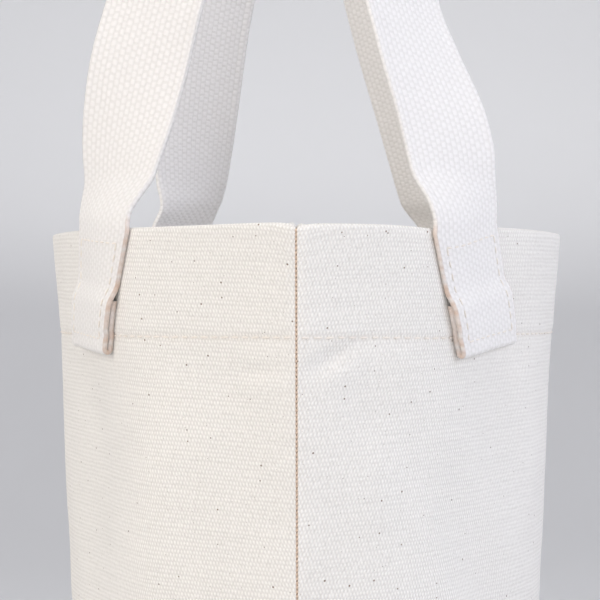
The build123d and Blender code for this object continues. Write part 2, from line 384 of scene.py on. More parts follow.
# the threads across the seam are a darker, browner copy of the thread, painted in the shade of
# the seam
SHADED_SEAM_THREAD = Thread("cotton thread in the seam", "#e6d2be", "#c4aa92", "#a68c74", 0.8, 0.1,
                     0.05)


# ---- mesh building ------------------------------------------------------------------
class Weaver:
    """Grid of points that becomes one closed mesh with a map and a share of painted shade."""

    def __init__(self, name: str, finish: bpy.types.Material) -> None:
        """Start an empty piece.

        Args:
            name: Name of the finished object.
            finish: Material of the whole piece.
        """
        self.name = name
        self.finish = finish
        self.points: list[Vector] = []
        self.maps: list[Pair] = []
        self.painted_shades: list[float] = []
        self.faces: list[tuple[int, ...]] = []

    def add(self, point: Vector, flat: Pair, painted_shade: float = 0.0) -> int:
        """Add one point.

        Args:
            point: Place in metres.
            flat: Its place on the flat cloth, in millimetres.
            painted_shade: How much painted brown shade it takes, 0 to 1.

        Returns:
            Index of the point.
        """
        self.points.append(point)
        self.maps.append(flat)
        self.painted_shades.append(painted_shade)
        return len(self.points) - 1

    def grid(self, rows: Sequence[Sequence[int]], close_rows: bool = False,
             close_columns: bool = False) -> None:
        """Join rows of point indices with quads.

        Args:
            rows: Rows of equal length.
            close_rows: Whether the last row joins the first.
            close_columns: Whether the last point of a row joins its first.
        """
        count, width = len(rows), len(rows[0])
        for i in range(count if close_rows else count - 1):
            low, high = rows[i], rows[(i + 1) % count]
            for j in range(width if close_columns else width - 1):
                k = (j + 1) % width
                self.faces.append((low[j], low[k], high[k], high[j]))

    def fan(self, ring: Sequence[int], centre: int) -> None:
        """Join a ring of point indices to one point with triangles."""
        for i, j in zip(ring, [*ring[1:], ring[0]]):
            self.faces.append((i, j, centre))

    def finish_piece(self) -> bpy.types.Object:
        """Make the object, with merged doubles and outward faces."""
        mesh = bpy.data.meshes.new(self.name)
        mesh.from_pydata(self.points, [], self.faces)
        flat = mesh.uv_layers.new(name=WEAVE_MAP)
        for loop in mesh.loops:
            flat.data[loop.index].uv = self.maps[loop.vertex_index]
        painted_shade = mesh.attributes.new(PAINTED_SHADE, "FLOAT", "POINT")
        painted_shade.data.foreach_set("value", self.painted_shades)
        work = bmesh.new()
        work.from_mesh(mesh)
        bmesh.ops.remove_doubles(work, verts=work.verts, dist=2e-6)
        bmesh.ops.dissolve_degenerate(work, edges=work.edges, dist=1e-7)
        bmesh.ops.recalc_face_normals(work, faces=work.faces)
        for face in work.faces:
            face.smooth = True
        work.to_mesh(mesh)
        work.free()
        mesh.materials.append(self.finish)
        return show(self.name, mesh)


# ---- the bag's shape ----------------------------------------------------------------
@dataclass(frozen=True)
class BagForm:
    """Outside surface of the bag, and how the cloth dips and ripples on it.

    On the surface, s is the distance along the cloth from mid panel, towards +X, z the
    height and edge the distance from the nearer seam.
    """

    height: float = 210.0
    mouth_half_length: float = 92.0
    mouth_half_width: float = 60.5
    base_half_length: float = 70.0
    base_half_width: float = 49.0
    pointed_depth: float = 200.0
    cloth: float = 0.9
    hem_depth: float = 24.0
    hem_extra: float = 1.0
    hem_line: float = 186.8
    seam_gap: float = 0.05
    seam_bend: float = 0.34
    allowance: float = 10.0
    allowance_start: float = 11.3
    pick_sag: float = 0.00024
    foot_centres: tuple[float, float, float, float] = (45.0, 56.0, 47.3, 44.6)
    arc_steps: int = 320

    def half_sizes(self, z: float) -> Pair:
        """Half length and half width at height z."""
        t = z / self.height
        flare = t - 0.03 * math.sin(math.pi * t)
        return (self.base_half_length
                + (self.mouth_half_length - self.base_half_length) * flare,
                self.base_half_width
                + (self.mouth_half_width - self.base_half_width) * flare)

    def outline(self, u: float, z: float) -> Pair:
        """Point of the back half outline, u from 0 at mid panel to 1 at the seam."""
        a, b = self.half_sizes(z)
        fade = smooth((z - (self.height - self.pointed_depth)) / self.pointed_depth)
        ex, ey = a * math.sin(u * math.pi / 2), b * math.cos(u * math.pi / 2)
        r = (a * a + b * b) / (2 * b)
        psi = u * math.asin(a / r)
        px, py = r * math.sin(psi), r * math.cos(psi) - (r - b)
        return ex + (px - ex) * fade, ey + (py - ey) * fade

    @lru_cache(maxsize=None)
    def arc(self, z: float) -> tuple[list[float], list[tuple[float, ...]]]:
        """Walk the outline at one height.

        Args:
            z: Height.

        Returns:
            Distances from mid panel, and for each the x, y and outward normal there.
        """
        steps = self.arc_steps
        pts = [self.outline(i / steps, z) for i in range(steps + 3)]
        rows = []
        for i in range(steps + 1):
            before, after = pts[max(i - 1, 0)], pts[i + 1]
            if i == 0:
                before = (-pts[1][0], pts[1][1])
            dx, dy = after[0] - before[0], after[1] - before[1]
            n = math.hypot(dx, dy)
            rows.append((*pts[i], -dy / n, dx / n))
        return travelled(pts[:steps + 1]), rows

    def reach(self, z: float) -> float:
        """Distance along the cloth from mid panel to the seam."""
        return self.arc(round(z, 3))[0][-1]

    def frame(self, s: float, z: float) -> tuple[float, float, float, float]:
        """Point of the back half, as x and y, and the x and y of its outward normal."""
        lengths, rows = self.arc(round(z, 3))
        want = min(abs(s), lengths[-1])
        i = min(bisect_right(lengths, want), len(lengths) - 1)
        f = (want - lengths[i - 1]) / (lengths[i] - lengths[i - 1])
        x, y, nx, ny = (p + (q - p) * f for p, q in zip(rows[i - 1], rows[i]))
        sign = -1.0 if s < 0 else 1.0
        return sign * x, y, sign * nx, ny

    @lru_cache(maxsize=None)
    def seam_arc(self, z: float, inset: float) -> float:
        """Distance s where the cloth, offset inwards by inset, comes that near the seam."""
        def short(s: float) -> bool:
            """Whether the offset cloth is still clear of the seam."""
            _, y, _, ny = self.frame(s, z)
            return y - ny * inset > self.seam_gap + inset

        return halve(0.0, self.reach(z), short, 30)

    def bend_centre(self, z: float) -> float:
        """How far from the middle of the bag the cloth's fold into the seam is centred."""
        x, _, nx, _ = self.frame(self.seam_arc(round(z, 3), self.seam_bend), z)
        return x - nx * self.seam_bend

    def relief(self, side: Side, s: float, z: float) -> float:
        """How far the cloth stands off its plain shape, outwards."""
        edge = self.reach(z) - abs(s)
        hem = z - self.hem_line
        key = 10.0 * side.value
        slow = waver(s / 38.0 + key, z / 52.0, 3.1) * 1.3
        fine = waver(s / 13.0 - key, z / 17.0, 8.7) * 0.35
        off = (slow + fine) * smooth((edge - 1.5) / 16.0) * smooth((z - 12.0) / 25.0)
        off += self.stiffened(side, edge, s > 0) * smooth((z - 95.0) / 75.0)
        off += self.folds(side, edge, z) * smooth((z - 12.0) / 60.0)
        # the doubled band stands a little proud and its stitches pull in
        off += 0.2 * smooth((hem + 0.4) / 1.8) - 0.16 * bell(hem, 0.8)
        off += 0.14 * waver(s / 2.6, key, 5.5) * bell(hem, 3.5)
        if s > 0:
            off += self.pucker(side, edge, z)
        return off * smooth((edge - 0.4) / 1.8)

    def stiffened(self, side: Side, edge: float, right: bool) -> float:
        """How the wall lies flatter behind a handle's foot, which holds it stiff."""
        t = self.foot_centres[side.value + 1 + right] - edge
        lean = 0.2 * t - 1.0 if side is Side.BACK else 0.18 * t - 0.3
        return lean * bell(t, 22.0)

    def pucker(self, side: Side, edge: float, z: float) -> float:
        """Height of the small gathers under the hem beside the +X seam."""
        drop = self.height - self.hem_depth - z
        if side is Side.BACK:
            gather = drop - 5.2 + 0.44 * (edge - 3.0)
            return (-0.9 * bell(gather, 2.2) * bell(edge - 8.0, 4.6)
                    + 0.35 * bell(gather - 4.8, 3.0) * bell(edge - 10.0, 5.0)
                    + 0.3 * bell(gather + 2.6, 1.3) * bell(edge - 9.0, 5.0))
        return (-0.5 * bell(drop - 6.2, 1.6) * bell(edge - 10.0, 4.5)
                + 0.25 * bell(drop - 9.5, 2.5) * bell(edge - 8.0, 5.0))

    def folds(self, side: Side, edge: float, z: float) -> float:
        """Height of the long soft folds that run down the wall from hem and feet."""
        below = smooth((184.0 - z) / 30.0)
        if side is Side.BACK:
            valley = smooth((z - 70.0) / 50.0) * bell(edge - 24.0 - 0.62 * (176.0 - z), 11.0)
            return below * (0.7 * bell(edge - 16.0, 8.0) - 1.5 * valley)
        return below * (1.3 * bell(edge - 35.0, 9.0) - 0.9 * bell(edge - 60.0, 13.0))

    def rim_rise(self, side: Side, x: float, z: float) -> float:
        """How far the wave of the rim lifts the cloth at x and height z."""
        wave = 0.5 * waver(x / 30.0, 4.0 * side.value, 1.7)
        if side is Side.BACK:
            wave -= 1.1 * bell(x - 70.0, 8.0)
            wave += 1.6 * bell(x + 48.0, 26.0)
        # the corner at the seam is worn round
        wave -= 0.75 * bell(abs(x) - self.mouth_half_length, 1.6)
        return wave * smooth((z - self.height + 40.0) / 40.0)

    def place(self, side: Side, s: float, z: float, off: float = 0.0) -> Vector:
        """Point in metres at a distance off the outside of the bag, with its ripples."""
        x, y, nx, ny = self.frame(s, z)
        out = off + self.relief(side, s, min(z, self.height))
        return Vector((x + nx * out, side.value * (y + ny * out),
                       z + self.rim_rise(side, x, z))) * MM

    def normal(self, side: Side, s: float, z: float) -> Vector:
        """Outward direction at a point of the bag."""
        _, _, nx, ny = self.frame(s, z)
        return Vector((nx, side.value * ny, 0.0))


# ---- the panels ---------------------------------------------------------------------
@dataclass(frozen=True)
class Panel:
    """One half of the wall: a layer of duck, turned in at the mouth and at each seam."""

    form: BagForm
    side: Side
    plain_columns: int = 78
    bend_columns: int = 6
    fin_columns: int = 4
    rim_steps: int = 8

    def section(self) -> list[Pair]:
        """Depth and height of the points round a cut through the cloth, from the floor."""
        f = self.form
        double = f.cloth + f.hem_extra
        half = double / 2
        top = f.height - half
        hem = f.height - f.hem_depth
        outer = (spread(0.0, hem - 12.0, 2.6) + spread(hem - 12.0, hem + 3.0, 0.5)[1:]
                 + spread(hem + 3.0, top, 1.5)[1:])
        loop = [(0.0, z) for z in outer]
        turns = [math.pi * k / self.rim_steps for k in range(1, self.rim_steps + 1)]
        loop += [(half - half * math.cos(a), top + half * math.sin(a)) for a in turns]
        loop += [(double, z) for z in spread(top, hem + 0.3, 3.0)[1:]]
        loop += [(double - 0.25, hem), (f.cloth + 0.3, hem - 0.05)]
        loop += [(f.cloth, z) for z in spread(hem - 0.4, 0.0, 3.5)]
        return loop

    def row(self, depth: float, z: float) -> list[tuple[float, float, float, float]]:
        """Plan of the cloth.

        Args:
            depth: Depth behind the outside surface.
            z: Height.

        Returns:
            For each column its x, y on the back half, distance s and share of painted shade.
        """
        f = self.form
        zc = min(z, f.height)
        bend = f.seam_bend
        bend_at = f.seam_arc(round(zc, 3), bend)
        x0, _, nx, ny = f.frame(bend_at, zc)
        start = math.atan2(ny, nx)
        cx, cy = x0 - nx * bend, f.seam_gap + bend
        corner_at = f.seam_arc(round(zc, 3), max(depth, bend))
        xk, _, nkx, _ = f.frame(corner_at, zc)
        corner = (xk - nkx * depth, f.seam_gap + depth)
        half = []
        for i in range(self.plain_columns + 1):
            # columns close up towards the seam, where the cloth turns in
            s = bend_at * (1.0 - (1.0 - i / self.plain_columns) ** 1.25)
            if s > corner_at:
                half.append((*corner, s, 0.0))
                continue
            x, y, nx, ny = f.frame(s, zc)
            in_by = depth - f.relief(self.side, s, zc)
            half.append((x - nx * in_by, y - ny * in_by, s, 0.0))
        turn = start + math.pi / 2
        outside = depth == 0.0
        for k in range(1, self.bend_columns + 1):
            t = k / self.bend_columns
            angle, rho = start - turn * t, bend - depth
            # the cloth turning into the seam gets painted shade, deepening towards the bottom
            # of the fold
            painted_shade = smooth((t - 0.3) / 0.4) if outside else 0.0
            at = corner if rho < 0.0 else (cx + rho * math.cos(angle),
                                           cy + rho * math.sin(angle))
            half.append((*at, bend_at + bend * turn * t, painted_shade))
        length = f.allowance * smooth((z - f.allowance_start + 3.0) / 6.0) + 0.3
        # the fin's first column, deep in the seam, is painted fully in shade
        for k in range(1, self.fin_columns + 1):
            run = length * k / self.fin_columns
            half.append((min(cx - run, corner[0]), f.seam_gap + depth,
                         bend_at + bend * turn + run, 1.0 if k == 1 and outside else 0.0))
        return half

    def build(self, finish: bpy.types.Material) -> bpy.types.Object:
        """Make the panel, a closed mesh, in the canvas finish."""
        f, sign = self.form, self.side.value
        piece = Weaver(f"{self.side.name.lower()}_panel_canvas", finish)
        rows, section = [], self.section()
        for (depth, z), run in zip(section, travelled(section)):
            half = self.row(depth, z)
            # a faint line of painted shade runs along the dent of the hem stitches
            seen = 0.07 * bell(z - f.hem_line, 0.45) if depth == 0.0 else 0.0
            # the picks sag a little towards the seams
            rows.append([piece.add(
                Vector((x, sign * y, z + f.rim_rise(self.side, x, z))) * MM,
                (s + 400.0 * sign, run + s * s * f.pick_sag), max(painted_shade, seen))
                for x, y, s, painted_shade in [(-x, y, -s, t) for x, y, s, t in half[:0:-1]] + half])
        piece.grid(rows, close_rows=True)
        piece.faces.append(tuple(r[0] for r in rows))
        piece.faces.append(tuple(r[-1] for r in reversed(rows)))
        return piece.finish_piece()


def tape_loop(plan: Sequence[Pair], thick: float) -> list[Pair]:
    """Points all the way round tape of a thickness that follows an open line."""
    left, right = [], []
    for i, (x, y) in enumerate(plan):
        (x0, y0), (x1, y1) = plan[max(i - 1, 0)], plan[min(i + 1, len(plan) - 1)]
        n = math.hypot(x1 - x0, y1 - y0)
        nx, ny = -(y1 - y0) / n * thick / 2, (x1 - x0) / n * thick / 2
        left.append((x + nx, y + ny))
        right.append((x - nx, y - ny))
    return left + right[::-1]


@dataclass(frozen=True)
class Base:
    """Oval base of duck, its edge turned up inside the wall and bound with tape."""

    form: BagForm
    turn_up: float = 10.0
    fit: float = 0.05
    tape: float = 0.75
    steps: int = 220
    rings: int = 14
    bend: float = 1.6

    def plan_point(self, angle: float, z: float, inset: float) -> Pair:
        """Point of the base outline.

        Args:
            angle: Turn round the base from +X, in radians.
            z: Height.
            inset: Distance in from the outside of the wall.

        Returns:
            x and y.
        """
        a, b = self.form.half_sizes(z)
        nx, ny = math.cos(angle) / a, math.sin(angle) / b
        n = math.hypot(nx, ny)
        return a * math.cos(angle) - nx / n * inset, b * math.sin(angle) - ny / n * inset

    def angles(self) -> list[float]:
        """Turns round the base at which it has points."""
        return [2 * math.pi * i / self.steps for i in range(self.steps)]

    def build(self, finish: bpy.types.Material) -> bpy.types.Object:
        """Make the base, a closed mesh, in the canvas finish."""
        f = self.form
        piece = Weaver("base_panel_canvas", finish)
        outside = f.cloth + self.fit
        inner = outside + f.cloth

        def bent(inset: float, z: float, r: float, parts: Iterable[float]) -> list[Pair]:
            """Round bend of the cloth, from its flat at 1 to its turned-up edge at 0."""
            return [(inset + r - r * math.cos(a), z + r - r * math.sin(a))
                    for a in (math.pi / 2 * part for part in parts)]

        profile = bent(outside, 0.0, self.bend, (k / 5 for k in range(5, -1, -1)))
        profile += [(outside, z) for z in spread(self.bend, self.turn_up, 2.2)[1:]]
        profile += [(inner, z) for z in spread(self.turn_up, self.bend, 2.2)]
        profile += bent(inner, f.cloth, self.bend - f.cloth, (k / 4 for k in range(1, 5)))
        rows = []
        for inset, z in profile:
            grow = 1.0 + z / 60.0
            plan = [self.plan_point(angle, z, inset) for angle in self.angles()]
            rows.append([piece.add(Vector((x, y, z)) * MM, (x * grow, y * grow + 900.0))
                         for x, y in plan])
        piece.grid(rows, close_columns=True)
        for face_row, z in ((rows[0], 0.0), (rows[-1], f.cloth)):
            self.disc(piece, face_row, z)
        return piece.finish_piece()

    def disc(self, piece: Weaver, edge: list[int], z: float) -> None:
        """Fill the flat of the base inside one edge.

        Args:
            piece: Piece that gets the points.
            edge: Indices of the points round the edge.
            z: Height of the flat.
        """
        last = edge
        for k in range(1, self.rings):
            scale = 1.0 - k / self.rings
            row = []
            for i in edge:
                x, y = (c * scale / MM for c in piece.points[i][:2])
                swell = 0.35 * waver(x / 26.0, y / 26.0, 2.0) if z > 0.5 else 0
                swell *= smooth((1 - scale) * 3.0)
                row.append(piece.add(Vector((x, y, z + max(swell, 0.0))) * MM,
                                     (x, y + 900.0)))
            piece.grid([last, row], close_columns=True)
            last = row
        piece.fan(last, piece.add(Vector((0.0, 0.0, z)) * MM, (0.0, 900.0)))

    def build_binding(self, finish: bpy.types.Material) -> bpy.types.Object:
        """Make the closed ring of tape over the turned-up edge."""
        f = self.form
        piece = Weaver("base_seam_tape", finish)
        outer = f.cloth + self.fit + 0.1
        inner = outer + f.cloth + self.tape / 2
        top = self.turn_up + self.fit + self.tape / 2
        mid = [(outer + 0.1, top), (outer + 0.5, top + 0.02), (inner - 0.4, top - 0.02),
               (inner, top - 0.35), (inner + 0.02, 8.4), (inner, 6.6), (inner + 0.04, 5.0),
               (inner, 3.2)]
        loop = tape_loop(mid, self.tape * 0.9)
        rows = []
        for (inset, z), v in zip(loop, travelled(loop)):
            plan = [self.plan_point(angle, z, inset + 0.06 * waver(angle * 14.0, z / 3.0, 6.0))
                    for angle in self.angles()]
            rows.append([piece.add(Vector((x, y, z)) * MM, (travel, v))
                         for (x, y), travel in zip(plan, travelled(plan))])
        piece.grid(rows, close_rows=True, close_columns=True)
        return piece.finish_piece()


@dataclass(frozen=True)
class SideBinding:
    """Tape folded over the two seam allowances at one end of the bag."""

    form: BagForm
    end: End
    tape: float = 0.75
    depth: float = 7.4

    def build(self, finish: bpy.types.Material) -> bpy.types.Object:
        """Make the binding, a closed mesh, in the tape finish."""
        f = self.form
        piece = Weaver(f"{self.end.name.lower()}_seam_tape", finish)
        y = f.seam_gap + f.cloth + 0.05 + self.tape / 2
        tip = f.allowance + 0.45 + self.tape / 2
        mid = [(tip - self.depth + self.depth * k / 5, y) for k in range(6)]
        mid += [(tip + 0.12, y * 0.55), (tip + 0.18, 0.0), (tip + 0.12, -y * 0.55)]
        mid += [(x, -w) for x, w in reversed(mid[:6])]
        loop = tape_loop(mid, self.tape)
        along = travelled(loop)
        rows = []
        for z in spread(f.allowance_start + 0.6, f.height - f.hem_depth - 0.6, 2.4):
            fold = f.bend_centre(z)
            rows.append([piece.add(
                Vector((self.end.value * (fold - inset),
                        y + 0.1 * waver(inset / 4.0, z / 9.0, y), z)) * MM, (v, z))
                for (inset, y), v in zip(loop, along)])
        piece.grid(rows, close_columns=True)
        piece.faces.append(tuple(rows[0]))
        piece.faces.append(tuple(reversed(rows[-1])))
        return piece.finish_piece()


# ---- the handles --------------------------------------------------------------------
@dataclass(frozen=True)
class Leg:
    """Where one leg of a handle stands and how it turns as it rises.

    Each row of rise is the height above the rim, the distance from the XZ plane and the
    turn of the webbing from the X axis in degrees.
    """

    foot_y: float
    slant: float
    tilt: float
    rise: tuple[tuple[float, float, float], ...]


LEGS = {
    (Side.FRONT, End.RIGHT): Leg(42.0, 26.0, 3.5, (
        (0.0, 40.6, 30.0), (8.0, 39.4, 38.0), (16.6, 38.4, 49.0), (25.0, 36.9, 58.0),
        (36.0, 34.6, 64.0), (49.0, 31.3, 62.0), (80.0, 23.0, 70.0), (110.0, 17.0, 84.0))),
    (Side.FRONT, End.LEFT): Leg(36.0, 16.0, 4.0, (
        (0.0, 33.4, 28.0), (5.0, 32.3, 30.0), (11.0, 32.3, 36.0), (17.0, 32.2, 45.0),
        (35.0, 31.0, 60.0), (64.0, 27.0, 66.0), (85.0, 22.0, 74.0), (110.0, 17.0, 86.0))),
    (Side.BACK, End.RIGHT): Leg(35.7, 27.0, 6.0, (
        (0.0, 34.7, 33.0), (4.0, 33.9, 38.0), (12.0, 32.6, 47.5), (16.6, 31.9, 50.5),
        (24.0, 30.0, 50.5), (36.6, 25.5, 44.5), (49.0, 21.7, 40.5), (80.0, 16.5, 62.0),
        (110.0, 14.5, 84.0))),
    (Side.BACK, End.LEFT): Leg(37.5, 16.0, 4.0, (
        (0.0, 34.6, 31.0), (8.0, 33.6, 40.0), (18.0, 32.0, 50.0), (34.0, 27.6, 52.0),
        (49.0, 22.6, 48.0), (64.0, 18.9, 50.0), (85.0, 16.0, 64.0), (110.0, 14.5, 84.0))),
}


def through(hs: Sequence[float], values: Sequence[float], h: float) -> float:
    """Value at h of the smooth curve through the values given at heights hs."""
    def slope(k: int) -> float:
        """Slope at one of the given heights."""
        a, b = max(k - 1, 0), min(k + 1, len(hs) - 1)
        return (values[b] - values[a]) / (hs[b] - hs[a])

    i = max(0, min(len(hs) - 2, sum(1 for v in hs if v <= h) - 1))
    w = hs[i + 1] - hs[i]
    t = min(1.0, (h - hs[i]) / w)
    return ((2 * t ** 3 - 3 * t * t + 1) * values[i] + (t ** 3 - 2 * t * t + t) * slope(i) * w
            + (3 * t * t - 2 * t ** 3) * values[i + 1] + (t ** 3 - t * t) * slope(i + 1) * w)


@dataclass(frozen=True)
class Handle:
    """One length of webbing, sewn to its panel at both feet, seen from the outside."""

    form: BagForm
    side: Side
    width: float = 25.0
    thick: float = 1.35
    drop: float = 26.0
    turned: float = 11.0
    fit: float = 0.05
    rise: float = 165.0
    shoulder: float = 104.0
    leg_x: float = 57.0
    apex_y: float = 13.5
    ring_step: float = 1.1
    columns: int = 27
    fold_steps: int = 7
    arch_steps: int = 60
    settle: float = 12.0

    def across(self) -> list[Pair]:
        """Distance across and half thickness of the webbing, edge to edge."""
        half = self.width / 2
        out = []
        for k in range(-self.columns, self.columns + 1):
            a = k / self.columns * (half - 0.45)
            ridge = 0.5 + 0.5 * math.cos(2 * math.pi * a / STRAP.cord_pitch)
            # the selvedge is a round cord, with a slight channel beside it
            out.append((a, self.thick / 2 - 0.13 * (1 - ridge)
                        + 0.1 * bell(abs(a) - half + 1.3, 0.7)
                        - 0.1 * bell(abs(a) - half + 2.5, 0.5)))
        return out

    def foot_s(self, end: End) -> float:
        """Distance along the cloth from mid panel to the top of a foot."""
        f, want = self.form, LEGS[self.side, end].foot_y
        return end.value * halve(0.0, f.reach(f.height),
                                 lambda s: f.frame(s, f.height)[1] > want, 40)

    def on_panel(self, end: End, across: float, down: float, off: float) -> Vector:
        """Point of a foot on the panel.

        Args:
            end: Which foot.
            across: Distance across the webbing, towards +X.
            down: Distance down the webbing from the rim.
            off: Distance from the cloth.

        Returns:
            The point in metres.
        """
        leg = LEGS[self.side, end]
        tilt = math.radians(leg.tilt)
        slant = math.radians(leg.slant) if down >= 0.0 else 0.0
        s = self.foot_s(end) + across * math.cos(tilt) - end.value * down * math.sin(slant)
        z = self.form.height - down - end.value * across * math.sin(tilt)
        return self.form.place(self.side, s, z, off)

    def layers(self) -> Pair:
        """Distance from the cloth to the middle of a foot's hidden and seen layers."""
        low = self.fit + self.thick / 2
        return low, low + self.thick + 0.05

    def seen_off(self, down: float) -> float:
        """Distance from the cloth to the middle of the seen layer, down from the rim."""
        low, high = self.layers()
        return high + (low - high) * smooth((self.drop - self.turned + 1.0 - down) / 4.5)

    def foot_path(self) -> list[Pair]:
        """Middle line of a foot, seen edge on.

        Returns:
            Distance down from the rim and height off the cloth, from the hidden end,
            round the fold and up to the rim.
        """
        low, high = self.layers()
        turn = (high - low) / 2
        at = self.drop - turn
        out = [(d, low) for d in spread(self.drop - self.turned, at, 1.4)]
        for k in range(1, self.fold_steps):
            angle = math.pi * k / self.fold_steps
            out.append((at + turn * math.sin(angle),
                        (low + high) / 2 - turn * math.cos(angle)))
        return out + [(d, self.seen_off(d)) for d in spread(at, 0.0, 1.0)]

    def leg_point(self, end: End, h: float) -> tuple[Vector, float]:
        """Centre and turn of a leg at a height above the rim.

        Args:
            end: Which leg.
            h: Height above the rim, up to the shoulder.

        Returns:
            Point in millimetres with its Y unsigned, and the turn in radians.
        """
        x0 = abs(self.form.frame(self.foot_s(end), self.form.height)[0])
        x = x0 + (self.leg_x - x0) * smooth(h / self.shoulder)
        hs, ys, ts = zip(*LEGS[self.side, end].rise, (self.rise + 60.0, self.apex_y, 90.0))
        return (Vector((end.value * x, through(hs, ys, h), self.form.height + h)),
                math.radians(through(hs, ts, h)))

    def one_leg(self, end: End) -> list[tuple[Vector, float, float, End]]:
        """Centres, turns, heights and end, up one leg and to the top."""
        out = [(*self.leg_point(end, h), h, end)
               for h in spread(0.0, self.shoulder, self.ring_step)]
        c, turn = self.leg_point(end, self.shoulder)
        for k in range(1, self.arch_steps + 1):
            q = math.pi / 2 * k / self.arch_steps
            h = self.shoulder + (self.rise - self.shoulder) * math.sin(q)
            y = c.y + (self.apex_y - c.y) * smooth(k / self.arch_steps)
            out.append((Vector((end.value * self.leg_x * math.cos(q), y,
                                self.form.height + h)),
                        turn + (math.pi / 2 - turn) * smooth(1.5 * k / self.arch_steps),
                        h, end))
        return out

    def free_rings(self) -> list[tuple[Vector, Vector, float, End]]:
        """Middle line of the webbing above the rim.

        Returns:
            Centre, direction across, height above the rim and nearer end, from the
            right leg over the top to the left leg.
        """
        sign = self.side.value
        path = self.one_leg(End.RIGHT) + self.one_leg(End.LEFT)[-2::-1]
        out = []
        for i, (c, turn, h, end) in enumerate(path):
            a, b = path[max(i - 1, 0)][0], path[min(i + 1, len(path) - 1)][0]
            run = Vector((b.x - a.x, sign * (b.y - a.y), b.z - a.z)).normalized()
            # one edge faces the seam at both feet and the other handle over the top
            w = Vector((end.value * math.cos(turn), -sign * math.sin(turn), 0.0))
            w = (w - run * w.dot(run)).normalized()
            out.append((Vector((c.x, sign * c.y, c.z)), w, h, end))
        return out

    def rings(self) -> list[tuple[list[Vector], float]]:
        """Middle surface of the whole length of webbing.

        Returns:
            For each ring its points across, in metres, and how much of a foot it is.
        """
        section = [a for a, _ in self.across()]
        foot = self.foot_path()[:-1]
        low = self.layers()[0]
        out = [([self.on_panel(End.RIGHT, a, down, off) for a in section], 1.0)
               for down, off in foot]
        for p, w, h, end in self.free_rings():
            row = [(p + w * a) * MM for a in section]
            hold = 1.0 - smooth(h / self.settle)
            if hold > 0.0:
                row = [loose.lerp(self.on_panel(end, end.value * a, -h, low), hold)
                       for loose, a in zip(row, section)]
            out.append((row, smooth(1.0 - h / 4.0)))
        return out + [([self.on_panel(End.LEFT, -a, down, off) for a in section], 1.0)
                      for down, off in reversed(foot)]

    def build(self, finish: bpy.types.Material) -> bpy.types.Object:
        """Make the handle with its feet, a closed mesh, in the webbing finish."""
        piece = Weaver(f"{self.side.name.lower()}_handle_webbing_strap", finish)
        rings, section = self.rings(), self.across()
        count, w = len(section), self.width
        mid = count // 2
        travel, rows = 0.0, []
        for i, (row, foot) in enumerate(rings):
            before, after = rings[max(i - 1, 0)][0], rings[min(i + 1, len(rings) - 1)][0]
            if i:
                travel += (row[mid] - rings[i - 1][0][mid]).length / MM
            top, under = [], []
            for j, (a, half) in enumerate(section):
                wide = row[min(j + 1, count - 1)] - row[max(j - 1, 0)]
                n = wide.cross(after[j] - before[j]).normalized()
                # the faces are a little uneven, as woven cotton is
                n *= (half + 0.07 * waver(travel / 1.1, j * 2.0, 4.0)) * MM
                top.append((row[j] + n, a, 0.0))
                under.append((row[j] - n, w + 2.0 - a, 0.0))
            right = self.edge_cap(row[-1], row[-2], top[-1][0] - row[-1], travel)
            left = self.edge_cap(row[0], row[1], row[0] - top[0][0], travel)
            # the map runs on round both edges, so the weave has no jump there
            loop = (top + [(p, w / 2 + 0.4 * (k + 1), 1.0) for k, p in enumerate(right)]
                    + under[::-1]
                    + [(p, 1.5 * w + 2.0 + 0.4 * (k + 1), 1.0) for k, p in enumerate(left)]
                    + [(top[0][0], 1.5 * w + 4.0, 0.0)])
            # along the feet the webbing's edges are painted in warm shade, standing in for the
            # shaded gap between strap and cloth
            rows.append([piece.add(p, (a, travel), painted_shade * foot * self.edge_painted_shade(travel))
                         for p, a, painted_shade in loop])
        piece.grid(rows)
        for face, way in ((rows[0], 1), (rows[-1], -1)):
            # the point under each top point stands opposite it in the ring
            below = face[count + 3:2 * count + 3][::-1]
            for j in range(count - 1):
                quad = (face[j], face[j + 1], below[j + 1], below[j])
                piece.faces.append(quad[::way])
            piece.faces.append(tuple(face[count - 1:count + 4]))
            piece.faces.append(tuple(face[2 * count + 2:2 * count + 7]))
        return piece.finish_piece()

    def edge_painted_shade(self, travel: float) -> float:
        """How much painted shade the webbing's edge takes along a foot, broken by lighter
        loops of yarn.
        """
        loop = 0.5 + waver(travel / 0.9, 0.5, 7.0)
        return 0.07 + 0.36 * max(0.0, min(1.0, loop))

    def edge_cap(self, point: Vector, inner: Vector, up: Vector,
                 travel: float) -> list[Vector]:
        """Round edge of the webbing at one ring.

        Args:
            point: Outermost point of the middle surface.
            inner: Its neighbour in the ring.
            up: Direction of the face that the cap starts from.
            travel: Distance along the webbing.

        Returns:
            Three points from one face round to the other.
        """
        outward, up = (point - inner).normalized(), up.normalized()
        reach = 0.42 + 0.05 * math.sin(2 * math.pi * travel / STRAP.seed_pitch)
        half = self.thick / 2 * 1.05
        return [point + (up * math.cos(t) * half + outward * math.sin(t) * reach) * MM
                for t in (math.radians(angle) for angle in (40.0, 90.0, 140.0))]


# ---- stitching ----------------------------------------------------------------------
class StitchPath:
    """Line that a row of stitches follows, with the lie of each stitch."""

    def __init__(self, points: list[Vector], normals: list[Vector],
                 lie: Vector | None = None) -> None:
        """Keep the line.

        Args:
            points: Its points in metres.
            normals: Direction out of the cloth at each.
            lie: Direction of every stitch, or nothing where they lie along the line.
        """
        last = len(points) - 1
        self.points, self.normals = points, normals
        self.alongs = [lie or (points[min(i + 1, last)] - points[max(i - 1, 0)]).normalized()
                       for i in range(len(points))]


